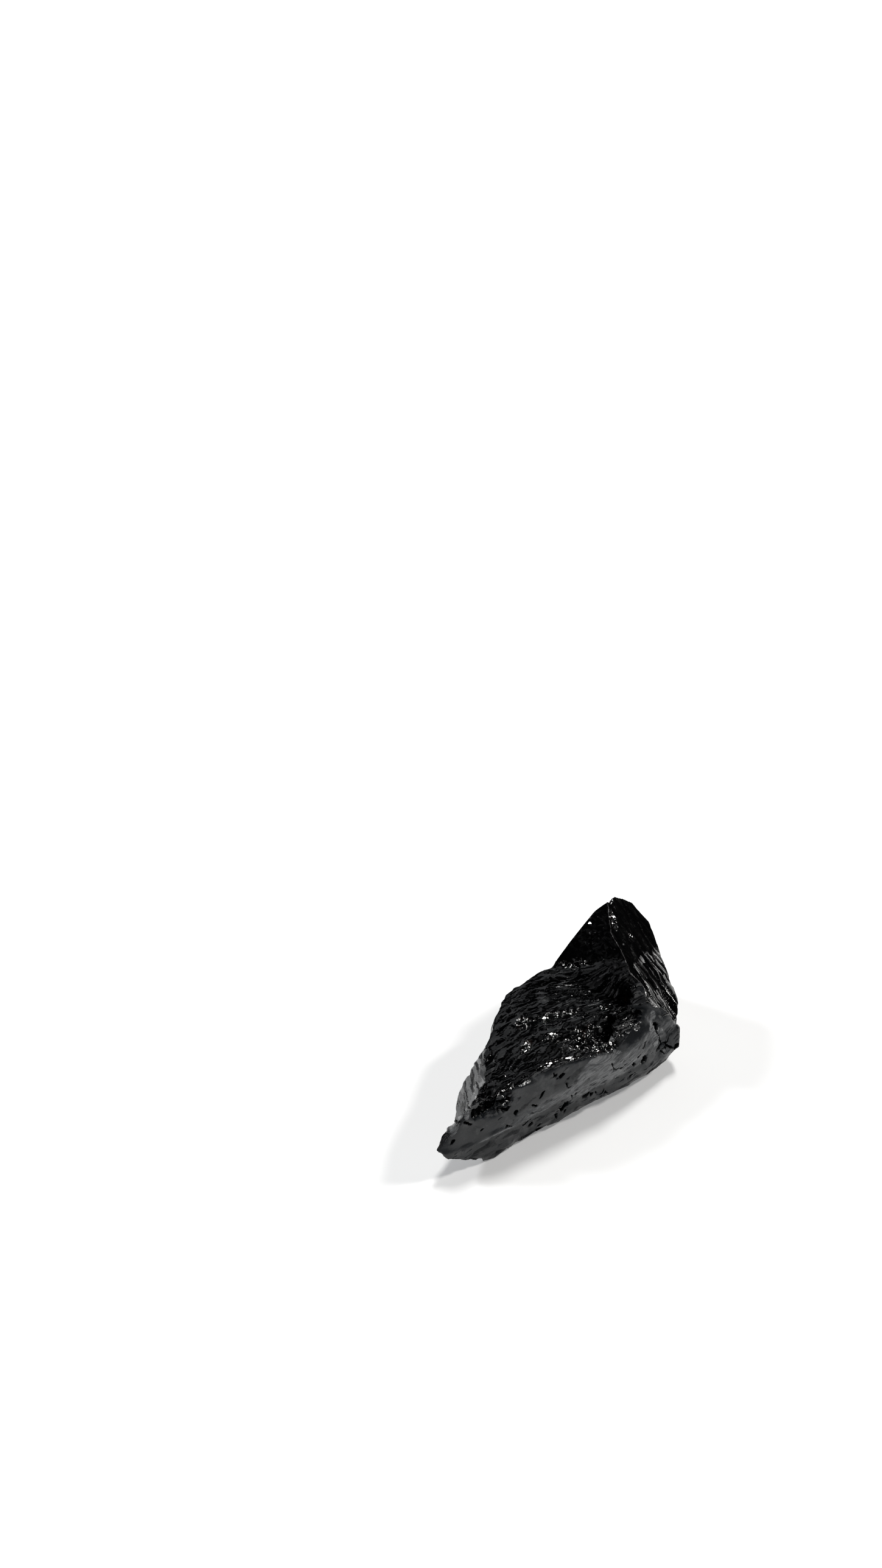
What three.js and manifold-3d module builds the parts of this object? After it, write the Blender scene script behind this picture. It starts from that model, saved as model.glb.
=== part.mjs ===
// A rough lump of black tourmaline (schorl), lying the way it rests on a table.
// Millimetres, +Z up. X runs along the crystal's long axis, the long broken front face looks to -Y,
// and the origin is on the ground under the middle of the stone's bounding box.

import * as THREE from 'three';
import { ConvexGeometry } from 'three/addons/geometries/ConvexGeometry.js';
import { mergeVertices } from 'three/addons/utils/BufferGeometryUtils.js';
import Module from 'manifold-3d';

const wasm = await Module();
wasm.setup();

// ---------- driving dimensions ----------

const PLATEAU = 15.5;           // height of the black top face
const BROW = 17.5;              // height of the edge between the top face and the front face
const BELLY = 8;                // height at which the front face stands farthest forward
const PEAK = 28.4;              // height of the peak, the highest point of the stone
const TIP = 7;                  // height of the left tip, which is clear of the ground
const FRONT = -18.2;            // how far forward the foot of the front face stands
const RIGHT_END = 35.6;         // farthest point of the striated right face
const LEFT_END = -35.7;         // farthest point of the left tip
const BACK_END = 19;            // farthest point of the back

const CHIP_COUNT = 330;         // splinter scars spread over the whole surface
const CHIP_LENGTH = 19;         // length of the splinter that left a middling scar, along the grain
const CHIP_WIDTH = 6.5;         // its width, across the grain
const CHIP_HEIGHT = 3.4;        // its thickness; most of it stood out of the surface
const CHIP_DEPTH = 0.38;        // depth at the middle of a scar
const SHALLOW_DEPTH = 0.2;      // the same on the top face
const CHIP_TILT = 0.25;         // steepest slope of a scar across the grain, in radians
const CHIP_TURN = 0.2;          // farthest a scar strays from the grain, in radians
const SEAT_RADIUS = 9;          // the underside is left flat this far around the middle
const STEP_END = -10;           // left of this the stone is too thin for large scars
const CREST_SLANT = 0.57;       // the crest's foot runs across the top face, back to the left
const CREST_MARGIN = 4.6;       // scars on the top face stop short of it, measured in x at y = 0

const WELD = 1e-3;              // corners closer together than this are one corner
const SMOOTH = 14;              // how finely the hollow under the peak is faceted

// ---------- solids ----------

function solidOf(geometry) {
  geometry.deleteAttribute('normal');
  geometry.deleteAttribute('uv');
  const merged = mergeVertices(geometry, WELD);
  return new wasm.Manifold(new wasm.Mesh({
    numProp: 3,
    vertProperties: new Float32Array(merged.attributes.position.array),
    triVerts: new Uint32Array(merged.index.array),
  }));
}

// A convex lump of crystal between its corner points.
function block(...cornerLists) {
  const corners = cornerLists.flat().map((corner) => new THREE.Vector3(...corner));
  return solidOf(new ConvexGeometry(corners));
}

// A hollow where a piece has broken away: a stretched ball, smooth or with coarse facets.
function scoop(center, radii, turnAboutZ = 0, detail = 1) {
  const place = new THREE.Matrix4().compose(
    new THREE.Vector3(...center),
    new THREE.Quaternion().setFromAxisAngle(new THREE.Vector3(0, 0, 1), turnAboutZ),
    new THREE.Vector3(...radii),
  );
  return solidOf(new THREE.IcosahedronGeometry(1, detail).applyMatrix4(place));
}

// ---------- the main body: a flat-topped prism along X ----------

const groundOutline = [
  [-21, -17.5, 0],
  [-12, -17, 0],
  [10, -16, 0],
  [24, -14, 0],
  [31, -3, 0],
  [30, 12, 0],
  [19, 17.5, 0],
  [2, 13.5, 0],
  [-8, 6, 0],
  [-17, -5, 0],
];

const frontFoot = [
  [-17, FRONT - 0.8, 0.8],
  [-8.5, FRONT, 0.8],
  [8.7, FRONT + 0.4, 1.2],
  [20.5, FRONT + 0.8, 1.6],
  [26.3, FRONT + 1.6, 2.5],
  [30, FRONT + 2.1, 5],
];

const frontBelly = [
  [-15.1, FRONT - 0.5, BELLY],
  [-3.7, FRONT + 0.2, BELLY + 0.5],
  [7.8, FRONT + 0.5, BELLY - 0.5],
  [19.2, FRONT + 0.2, BELLY - 2.5],
];

const brow = [
  [-27, -15.3, PLATEAU + 0.3],
  [-15, -16, BROW - 0.7],
  [-9, -14.5, BROW + 0.4],
  [-0.5, -15.4, BROW - 0.6],
  [9.5, -16.8, 13.7],
];

const topFace = [
  [-18.5, -8.3, PLATEAU + 0.1],
  [-14, -1, PLATEAU - 0.5],
  [-8.5, 5.4, PLATEAU - 0.5],
  [-3, 10, PLATEAU - 0.3],
  [3.7, 10.6, PLATEAU + 0.8],
  [9.5, 10.2, PLATEAU + 1.9],
  [20, -3, PLATEAU + 2],
];

const rightEnd = [
  [24.3, -9.5, 16.4],
  [22.1, -13.5, 12.5],
  [23.2, -15.6, 8],
  [31.3, -12.5, 11],
];

const back = [
  [-9.5, 6, 6],
  [1, 13.5, 8],
  [14, 16.5, 10],
  [25, BACK_END - 0.6, 9],
];

const body = block(groundOutline, frontFoot, frontBelly, brow, topFace, rightEnd, back);

// ---------- the crest: the wedge that rises to the peak at the right ----------

const ridge = [
  [24.1, 7.8, PEAK - 1.2],
  [23.4, 1.4, PEAK - 2.4],
  [21.6, -5.6, PEAK - 5.1],
  [21.3, -8, PEAK - 6.9],
];

const rightFace = [
  [34.1, 13.3, 26],
  [RIGHT_END, 8, 23.3],
  [33.6, -0.4, 21.5],
  [31.7, -8.4, 18.5],
  [33, -10.3, 13.5],
  [30.8, -13, 9],
];

const skyline = [
  [29.9, 15.1, PEAK],
  [24.6, 15.3, PEAK - 2.4],
  [21.3, 14.5, PEAK - 4.6],
  [15.4, 12.4, PEAK - 7.8],
  [11.4, 11.3, PEAK - 9.6],
];

const crestFoot = [
  [8.5, 9, 14],
  [10.5, 5.5, 14],
  [14, 1, 14],
  [17, -5, 14],
  [19, -9.5, 13],
];

const crestBack = [
  [11, 15.5, 4],
  [24, BACK_END, 14],
  [20, BACK_END - 0.6, 1],
  [31, 14, 0.5],
  [34.5, 8, 6],
  [33.5, -2, 4],
  [29, -12, 3],
];

const peakHollow = scoop([-9.3, 2, 50.4], [40, 40, 40], 0, SMOOTH);
const crest = block(ridge, rightFace, skyline, crestFoot, crestBack).subtract(peakHollow);

// ---------- the left end: a sloping step below the top face, and the pointed prow ----------

const stepTop = [
  [-28.3, -15.9, 14.3],
  [-27, -15.3, PLATEAU],
  [-23.5, -12.3, PLATEAU],
  [-18.3, -8, PLATEAU - 0.3],
  [-14, -1, PLATEAU - 0.8],
];

const stepSide = [
  [-29.9, -14.3, 11.5],
  [-27.8, -11.1, 12.5],
  [-26.5, -9.4, 13],
  [-22.4, -6, 13.8],
  [-18.1, -3.9, 14.3],
];

const stepInside = [
  [-25, -17, 4],
  [-14, -16, 4],
  [-14, -4, 3],
  [-22, -9, 5],
];

const step = block(stepTop, stepSide, stepInside);

const prowPoint = [
  [LEFT_END, -16.4, TIP],
  [-34.1, -18.3, TIP - 2.3],
  [-34.2, -15.3, TIP + 1.5],
  [-30.6, -14.1, TIP + 3],
  [-31.3, -19, TIP - 3],
];

const prowRoot = [
  [-25.3, -19.6, 0.8],
  [-17, FRONT - 0.8, 0.8],
  [-15.1, FRONT - 0.5, BELLY],
  [-15.2, -16.2, BROW - 1],
  [-28.3, -16, 13.9],
  [-28, -11.5, 5.5],
  [-20, -8, 2.5],
];

const prow = block(prowPoint, prowRoot);

// ---------- the heel: the smooth lump at the foot of the front face, which touches the ground ----------

const heel = block([
  [-25.6, -19.6, 0],
  [-22, -20.2, 0],
  [-17.5, -19.4, 0],
  [-25.3, -19.9, 2.2],
  [-18.4, -20.1, 3.6],
  [-24, -19, 4.4],
  [-16.8, -18.6, 4.8],
  [-23, -15, 0],
  [-16, -15, 0],
  [-20, -16, 5],
]);

// ---------- hollows where large pieces have broken away ----------

const hollows = [
  scoop([6, -12.4, 17.5], [4.6, 2.7, 2], -0.1),
  scoop([9.8, -11.6, 16.3], [3.4, 2.9, 1.9], 0.3),
  scoop([2.2, -9.3, 17.8], [3.2, 1.8, 1.5], -0.3),
  scoop([-22.3, -15.2, 16.6], [3.6, 1.9, 2.2], 0.6),
  scoop([29, -19.6, 13.2], [6.5, 6, 6.5], 0.3),
  scoop([3, 27, 14], [14, 15, 13], 0.4),
  scoop([40, 12, 4], [9, 8, 12], 0.7),
  scoop([-19, 8, 13], [10, 9, 9], 0.2),
];

// ---------- splinter scars ----------

function geometryOf(solid) {
  const { vertProperties, triVerts } = solid.getMesh();
  const geometry = new THREE.BufferGeometry();
  geometry.setAttribute('position', new THREE.BufferAttribute(new Float32Array(vertProperties), 3));
  geometry.setIndex(new THREE.BufferAttribute(new Uint32Array(triVerts), 1));
  return geometry;
}

// A number from 0 to 1 that jumps about evenly from one index to the next.
function scatter(index, step) {
  return (index * step) % 1;
}

// The same as a number from -1 to 1.
function sway(index, step) {
  return 2 * scatter(index, step) - 1;
}

// Where a line from outside the stone towards its long axis first meets the surface.
function surfaceSpot(target, index) {
  const height = 1 - (2 * (index + 0.5)) / CHIP_COUNT;
  const turn = 2 * Math.PI * scatter(index, 0.61803399);
  const reach = Math.sqrt(1 - height * height);
  const outward = new THREE.Vector3(reach * Math.cos(turn), reach * Math.sin(turn), height);
  const start = outward.clone().multiply(new THREE.Vector3(70, 60, 50));
  const axisPoint = new THREE.Vector3(outward.x * 24, 0, 8);
  const ray = new THREE.Raycaster(start, axisPoint.sub(start).normalize());
  const hit = ray.intersectObject(target)[0];
  return hit && { point: hit.point, normal: hit.face.normal };
}

// The seat in the middle of the underside, the glassy face between the peak and the top face, the
// top face at its foot, and the thin left step have no scars.
function staysPlain({ point, normal }) {
  const isSeat = normal.z < -0.9 && Math.hypot(point.x, point.y) < SEAT_RADIUS;
  const isPeakFace = normal.x < -0.15 && point.x > 8 && point.z > PLATEAU - 2;
  const isPeakFoot = normal.z > 0.5 && point.z < BROW + 1 && point.x + CREST_SLANT * point.y > CREST_MARGIN;
  const isStep = point.x < STEP_END && (normal.x < -0.3 || point.y > FRONT + 3);
  return isSeat || isPeakFace || isPeakFoot || isStep;
}

// Scars are shallow on the top face, which follows the grain, and deeper on the broken sides.
function depthAt({ normal }) {
  return normal.z > 0.8 ? SHALLOW_DEPTH : CHIP_DEPTH;
}

// The crystal's grain runs along X. At the right end it is broken across, into slanting splinters
// above and upright columns below.
function grainAt({ point }) {
  if (point.x < 22) {
    return new THREE.Vector3(1, 0, 0);
  }
  return point.z > 13 ? new THREE.Vector3(0.36, -0.63, -0.68) : new THREE.Vector3(0, 0, 1);
}

function chip(spot, index) {
  const across = new THREE.Vector3().crossVectors(spot.normal, grainAt(spot)).normalize();
  const along = new THREE.Vector3().crossVectors(across, spot.normal);
  const size = 0.45 + scatter(index, 0.4142);
  const slimness = 0.5 + 0.8 * scatter(index, 0.7321);
  const splinter = new THREE.IcosahedronGeometry(1, 0);
  splinter.rotateX(Math.PI * scatter(index, 0.5615));
  splinter.rotateZ(Math.PI * scatter(index, 0.3542));
  splinter.scale(CHIP_LENGTH * size / 2, CHIP_WIDTH * size * slimness / 2, CHIP_HEIGHT / 2);
  splinter.rotateX(CHIP_TILT * sway(index, 0.2361));
  splinter.rotateZ(CHIP_TURN * sway(index, 0.8284));
  splinter.translate(0, 0, CHIP_HEIGHT / 2 - depthAt(spot));
  const place = new THREE.Matrix4().makeBasis(along, across, spot.normal).setPosition(spot.point);
  return solidOf(splinter.applyMatrix4(place));
}

function chipped(solid) {
  const target = new THREE.Mesh(geometryOf(solid));
  let result = solid;
  for (let index = 0; index < CHIP_COUNT; index += 1) {
    const spot = surfaceSpot(target, index);
    if (spot && !staysPlain(spot)) {
      result = result.subtract(chip(spot, index));
    }
  }
  return result;
}

// Crumbs that the scars cut free fall away: only the piece with the most triangles is kept.
function withoutCrumbs(geometry) {
  const corners = geometry.index.array;
  const leader = Array.from({ length: geometry.attributes.position.count }, (_, vertex) => vertex);
  const leaderOf = (vertex) => {
    let at = vertex;
    while (leader[at] !== at) {
      leader[at] = leader[leader[at]];
      at = leader[at];
    }
    return at;
  };
  for (let i = 0; i < corners.length; i += 3) {
    leader[leaderOf(corners[i + 1])] = leaderOf(corners[i]);
    leader[leaderOf(corners[i + 2])] = leaderOf(corners[i]);
  }
  const pieces = new Map();
  for (let i = 0; i < corners.length; i += 3) {
    const name = leaderOf(corners[i]);
    const kept = pieces.get(name) ?? [];
    kept.push(corners[i], corners[i + 1], corners[i + 2]);
    pieces.set(name, kept);
  }
  const largest = [...pieces.values()].reduce((a, b) => (b.length > a.length ? b : a));
  geometry.setIndex(largest);
  return geometry;
}

// Sets the middle of the bounding box's underside on the origin.
function centred(geometry) {
  geometry.computeBoundingBox();
  const { min, max } = geometry.boundingBox;
  return geometry.translate(-(min.x + max.x) / 2, -(min.y + max.y) / 2, -min.z);
}

// ---------- the stone ----------

const rough = [crest, step, prow, heel].reduce((solid, piece) => solid.add(piece), body);
const hollowed = hollows.reduce((solid, hollow) => solid.subtract(hollow), rough);
const welded = solidOf(geometryOf(chipped(hollowed)));
const geometry = centred(withoutCrumbs(geometryOf(welded)));
geometry.computeVertexNormals();

const tourmaline = new THREE.MeshStandardMaterial({ color: 0x0b0c0e, roughness: 0.3, metalness: 0 });
const stone = new THREE.Mesh(geometry, tourmaline);
stone.name = 'tourmaline_stone';

const model = new THREE.Group();
model.add(stone);

export default model;
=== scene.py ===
"""A rough lump of black tourmaline on a white studio floor.

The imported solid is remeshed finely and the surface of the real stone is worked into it, region by
region: overlapping strokes along the grain on the top face, a satin front face with a fold, cracks
and pits, splinters down the crest, a glassy face under the peak, and hackly patches that sparkle.
"""

import math

import bpy
import numpy as np
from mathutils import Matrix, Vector


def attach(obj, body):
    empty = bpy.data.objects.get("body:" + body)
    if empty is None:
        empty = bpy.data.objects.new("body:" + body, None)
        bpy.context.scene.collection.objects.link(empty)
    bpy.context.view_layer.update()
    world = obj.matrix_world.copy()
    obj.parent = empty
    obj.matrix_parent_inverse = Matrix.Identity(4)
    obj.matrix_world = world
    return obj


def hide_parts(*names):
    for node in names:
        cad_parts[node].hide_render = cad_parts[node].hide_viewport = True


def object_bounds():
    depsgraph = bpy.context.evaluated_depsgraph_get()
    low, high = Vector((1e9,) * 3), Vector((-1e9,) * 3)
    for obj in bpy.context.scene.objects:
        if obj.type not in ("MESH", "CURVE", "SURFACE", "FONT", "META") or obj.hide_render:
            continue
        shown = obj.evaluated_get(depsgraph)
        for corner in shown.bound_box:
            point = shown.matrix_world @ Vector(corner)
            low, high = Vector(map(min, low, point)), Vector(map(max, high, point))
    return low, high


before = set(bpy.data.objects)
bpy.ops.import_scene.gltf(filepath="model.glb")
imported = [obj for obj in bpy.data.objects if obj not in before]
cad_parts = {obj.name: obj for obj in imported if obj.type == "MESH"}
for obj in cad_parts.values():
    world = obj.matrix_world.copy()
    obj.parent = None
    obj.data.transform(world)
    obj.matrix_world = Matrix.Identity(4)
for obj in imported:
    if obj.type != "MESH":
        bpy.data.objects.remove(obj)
cad_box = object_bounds()
scene = bpy.context.scene

MM = 0.001

# ---------- camera: the photograph's viewpoint, looking 41 degrees down ----------

CAMERA_AT = (-133.15, -201.6, 297.6)
CAMERA_LOOK = (0.3543, 0.6663, -0.6561)

camera = bpy.data.objects.new("camera", bpy.data.cameras.new("camera"))
scene.collection.objects.link(camera)
camera.location = Vector(CAMERA_AT) * MM
camera.rotation_euler = Vector(CAMERA_LOOK).to_track_quat("-Z", "Y").to_euler()
camera.data.sensor_fit = "VERTICAL"
camera.data.sensor_height = 36
camera.data.lens = 36
camera.data.clip_start = 0.005
camera.data.clip_end = 20
scene.camera = camera

# ---------- noise, cells and plates ----------


def scramble(*keys):
    """A whole-number hash of several integer arrays."""
    mixed = np.zeros(np.broadcast(*keys).shape, np.uint64)
    for key in keys:
        mixed = mixed ^ np.asarray(key).astype(np.int64).astype(np.uint64)
        mixed = mixed * np.uint64(0x9E3779B97F4A7C15)
        mixed = mixed ^ (mixed >> np.uint64(29))
        mixed = mixed * np.uint64(0xBF58476D1CE4E5B9)
        mixed = mixed ^ (mixed >> np.uint64(32))
    return mixed


def unit(mixed, shift):
    """A number from 0 to 1 out of part of a hash."""
    return ((mixed >> np.uint64(shift)) & np.uint64(0xFFFF)).astype(float) / 65535.0


def noise(points, seed):
    """Gradient noise from about -1 to 1."""
    base = np.floor(points).astype(np.int64)
    part = points - base
    fade = part * part * part * (part * (part * 6 - 15) + 10)
    total = np.zeros(len(points))
    for corner in range(8):
        offset = np.array([corner & 1, corner >> 1 & 1, corner >> 2 & 1])
        cell = base + offset
        mixed = scramble(cell[:, 0], cell[:, 1], cell[:, 2], seed)
        gradient = np.stack([unit(mixed, 0), unit(mixed, 16), unit(mixed, 32)], 1) * 2 - 1
        weight = np.where(offset == 1, fade, 1 - fade).prod(1)
        total += weight * ((part - offset) * gradient).sum(1)
    return total * 1.6


def cells(points, seed):
    """Distances to the nearest two of scattered points, the nearest's hash and the way to it."""
    base = np.floor(points).astype(np.int64)
    first = np.full(len(points), 9.0)
    second = np.full(len(points), 9.0)
    owner = np.zeros(len(points), np.uint64)
    away = np.zeros((len(points), 3))
    for step in range(27):
        offset = np.array([step % 3 - 1, step // 3 % 3 - 1, step // 9 - 1])
        cell = base + offset
        mixed = scramble(cell[:, 0], cell[:, 1], cell[:, 2], seed)
        spot = cell + np.stack([unit(mixed, 0), unit(mixed, 16), unit(mixed, 32)], 1)
        way = points - spot
        distance = np.sqrt((way * way).sum(1))
        nearer = distance < first
        second = np.where(nearer, first, np.minimum(second, distance))
        first = np.where(nearer, distance, first)
        owner = np.where(nearer, mixed, owner)
        away = np.where(nearer[:, None], way, away)
    return first, second, owner, away


def facets(points, size, seed, tilt):
    """Flat broken facets: the height of each cell's own plane, and that plane's slope."""
    _, _, owner, away = cells(points / size, seed)
    slope = np.stack([unit(owner, 5), unit(owner, 21), unit(owner, 37)], 1) * 2 - 1
    height = ((away * slope).sum(1) + (unit(owner, 48) - 0.5) * 0.5) * tilt * np.mean(size)
    return height, slope * tilt


def plates(along, across, size, seed, tilt, lean, thick, steep, sunk, share, rise):
    """Thin overlapping plates, long one way: the topmost one's height, its two slopes, its hash.

    along and across are places in millimetres; size to sunk are a row of the table of plates.
    The given share of them stand up as risers instead, with the slope rise across.
    """
    a = along / size[0]
    c = across / size[1]
    column = np.floor(a).astype(np.int64)
    row = np.floor(c).astype(np.int64)
    best = np.full(len(a), -9.0)
    slopes = np.zeros((len(a), 2))
    owner = np.zeros(len(a), np.uint64)
    for step in range(9):
        i, j = step % 3 - 1, step // 3 - 1
        mixed = scramble(column + i, row + j, seed)
        da = a - (column + i + unit(mixed, 0))
        dc = c - (row + j + unit(mixed, 16))
        reach = np.sqrt(da * da + dc * dc)
        slope_a = (unit(mixed, 24) * 2 - 1) * tilt[0]
        slope_c = (unit(mixed, 40) * 2 - 1) * tilt[1]
        slope_c = slope_c + np.where(unit(mixed, 20) < share, rise, lean)
        top_of = unit(mixed, 32) * thick + da * size[0] * slope_a + dc * size[1] * slope_c
        past_rim = np.maximum(reach - 0.55 - 0.3 * unit(mixed, 48), 0) * size[1] * steep
        value = top_of - past_rim
        higher = value > best
        best = np.where(higher, value, best)
        slopes = np.where(higher[:, None], np.stack([slope_a, slope_c], 1), slopes)
        owner = np.where(higher, mixed, owner)
    return best - sunk, slopes, owner


def ramp(value, low, high):
    """0 below low, 1 above high, smooth between."""
    t = np.clip((value - low) / (high - low), 0, 1)
    return t * t * (3 - 2 * t)


def made_unit(vectors):
    """Vectors scaled to length 1."""
    return vectors / np.maximum(np.linalg.norm(vectors, axis=-1, keepdims=True), 1e-9)


def stacked(*columns):
    """Points from their coordinates, of which some may be single numbers."""
    return np.stack([np.broadcast_to(column, columns[0].shape) for column in columns], 1)


# ---------- the mesh ----------

VOXEL = 0.24 * MM
MOST_TRIANGLES = 196000


def remeshed(source, name):
    """A copy of a CAD node with even quads."""
    piece = bpy.data.objects.new(name, source.data.copy())
    scene.collection.objects.link(piece)
    modifier = piece.modifiers.new("even", "REMESH")
    modifier.mode = "VOXEL"
    modifier.voxel_size = VOXEL
    modifier.adaptivity = 0
    apply_modifiers(piece)
    piece.data.name = name
    return piece


def apply_modifiers(piece):
    """Give the piece the mesh that its modifiers make of it."""
    bpy.context.view_layer.update()
    graph = bpy.context.evaluated_depsgraph_get()
    mesh = bpy.data.meshes.new_from_object(piece.evaluated_get(graph))
    piece.modifiers.clear()
    piece.data = mesh


class Surface:
    """The stone's vertices as arrays in millimetres, with what smoothing and displacement need."""

    def __init__(self, mesh):
        self.mesh = mesh
        count = len(mesh.vertices)
        self.at = np.zeros(count * 3)
        mesh.vertices.foreach_get("co", self.at)
        self.at = self.at.reshape(-1, 3) / MM
        edges = np.zeros(len(mesh.edges) * 2, np.int64)
        mesh.edges.foreach_get("vertices", edges)
        self.a, self.b = edges.reshape(-1, 2).T
        self.degree = np.bincount(self.a, minlength=count) + np.bincount(self.b, minlength=count)
        mesh.calc_loop_triangles()
        triangles = np.zeros(len(mesh.loop_triangles) * 3, np.int64)
        mesh.loop_triangles.foreach_get("vertices", triangles)
        self.triangles = triangles.reshape(-1, 3)

    def spread(self, values):
        """Each vertex's mean over its neighbours."""
        count = len(self.at)
        columns = values.reshape(count, -1)
        out = np.empty_like(columns)
        for k in range(columns.shape[1]):
            column = columns[:, k]
            total = np.bincount(self.a, column[self.b], count)
            total = total + np.bincount(self.b, column[self.a], count)
            out[:, k] = total / self.degree
        return out.reshape(values.shape)

    def smooth(self, values, rounds, share=0.6):
        """Move each vertex's values some of the way to its neighbours' mean, again and again."""
        weight = share if np.isscalar(share) else share[:, None]
        for _ in range(rounds):
            values = values + weight * (self.spread(values) - values)
        return values

    def normals(self, at=None):
        """Each vertex's normal, with the vertices here or at other places."""
        at = self.at if at is None else at
        p, q, r = (at[self.triangles[:, k]] for k in range(3))
        face = np.cross(q - p, r - p)
        out = np.zeros_like(at)
        for corner in range(3):
            for k in range(3):
                out[:, k] += np.bincount(self.triangles[:, corner], face[:, k], len(at))
        return out / np.maximum(np.linalg.norm(out, axis=1), 1e-12)[:, None]

    def store(self):
        """Move the mesh's own vertices to where they are kept here."""
        self.mesh.vertices.foreach_set("co", (self.at * MM).ravel())
        self.mesh.update()

    def attribute(self, name, values, domain="POINT"):
        """Keep numbers or vectors on the mesh."""
        if values.ndim > 1:
            made = self.mesh.attributes.new(name, "FLOAT_VECTOR", domain)
            made.data.foreach_set("vector", values.astype(np.float32).ravel())
        else:
            made = self.mesh.attributes.new(name, "FLOAT", domain)
            made.data.foreach_set("value", values.astype(np.float32))

    def read(self, name):
        """Numbers or vectors that were kept on the mesh."""
        found = self.mesh.attributes[name]
        vector = found.data_type == "FLOAT_VECTOR"
        values = np.zeros(len(found.data) * (3 if vector else 1), np.float32)
        found.data.foreach_get("vector" if vector else "value", values)
        return values.reshape(-1, 3).astype(float) if vector else values.astype(float)


stone = remeshed(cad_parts["tourmaline_stone"], "tourmaline")
surface = Surface(stone.data)

# ---------- regions, told apart by the broad shape ----------

broad = surface.smooth(surface.at, 90)
nx, ny, nz = surface.normals(broad).T
x, y, z = surface.at.T

# the line along the crest's edge from its foot to the peak: how far right of it each vertex lies
RIDGE_Y = (-6.7, -4.1, 1.1, 7.2, 15.9)
RIDGE_X = (24.0, 22.2, 23.0, 23.5, 28.1)
right_of_ridge = x - np.interp(y, RIDGE_Y, RIDGE_X)

# the fold that runs along the front face, from the heel at the left up to the right end
FOLD_X = (-30.0, -21.7, -9.0, 0.7, 13.2, 19.9, 30.0)
FOLD_Z = (6.0, 7.0, 8.0, 9.0, 9.5, 10.0, 10.5)
above_fold = z - np.interp(x, FOLD_X, FOLD_Z)

low_side = ramp(-nz, 0.55, 0.8)
peak_face = ramp(z, 16.6, 18.2) * ramp(-right_of_ridge, -0.5, 0.3) * ramp(x, 6, 11)
peak_face = peak_face * ramp(-nx - 0.2 * ny, 0.0, 0.3)
CREST_END_X = (22.0, 24.6, 28.4, 30.4, 34.0)
CREST_END_Z = (18.6, 16.8, 14.0, 11.2, 8.5)
above_end = z - np.interp(x, CREST_END_X, CREST_END_Z) + 0.6 * noise(surface.at / 1.5, 94)
crest_right = ramp(right_of_ridge, -0.2, 0.2) * ramp(above_end, -0.3, 0.3) * (1 - low_side)
summit = ramp(z, 21.8, 22.8) * ramp(-right_of_ridge, -0.5, 0.3)
# the peak's glassy face ends at its foot; the apron below it is broken like the top
above_foot = ramp(y + 1.13 * x - 25.6 + 0.5 * noise(surface.at / 1.5, 92), -0.3, 0.3)
apron = peak_face * (1 - above_foot)
peak_face = np.maximum(peak_face * above_foot, summit)
top = ramp(nz, 0.60, 0.82) * (1 - peak_face) * (1 - crest_right) * ramp(z, 10, 13)
top = np.maximum(top, apron)
front = ramp(-ny, 0.35, 0.65) * (1 - top) * (1 - crest_right) * (1 - peak_face)
front = front * ramp(nz, -0.6, -0.3)
right = ramp(nx, 0.35, 0.7) * ramp(x, 20, 25) * (1 - crest_right)

# the step at the left: everything outside the edge of the top face
STEP_Y = (-15.3, -14.5, -13.6, -12.0, -10.8, -7.0, -5.0, -0.4)
STEP_X = (-28.0, -26.3, -24.8, -22.9, -20.5, -18.3, -17.6, -13.95)
left_of_edge = np.interp(y, STEP_Y, STEP_X) - x + 0.5 * noise(surface.at / 1.4, 93)
rear_of_step = y + 1.6 * noise(surface.at / 1.8, 97)
step = ramp(left_of_edge, -0.2, 0.2) * ramp(z, 9.0, 10.5) * ramp(y, -15.2, -14.6)
step = step * (1 - ramp(rear_of_step, -1.5, 1.0))
top = top * (1 - step)
front = front * (1 - right) * (1 - step) * (1 - ramp(y, -12.8, -11.8) * (1 - ramp(x, 15, 17)))
back = np.clip(1 - top - front - right - peak_face - crest_right - step - low_side, 0, 1)


def patch(centre, radii, turn=0.0):
    """1 in the middle of an oval patch in plan, falling to 0 past its ragged edge."""
    dx, dy = x - centre[0], y - centre[1]
    along = dx * math.cos(turn) + dy * math.sin(turn)
    across = dy * math.cos(turn) - dx * math.sin(turn)
    reach = np.sqrt((along / radii[0]) ** 2 + (across / radii[1]) ** 2)
    ragged = reach + 0.45 * noise(surface.at / 1.6, 90) + 0.2 * noise(surface.at / 0.8, 91)
    return 1 - ramp(ragged, 0.7, 1.1)


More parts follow.
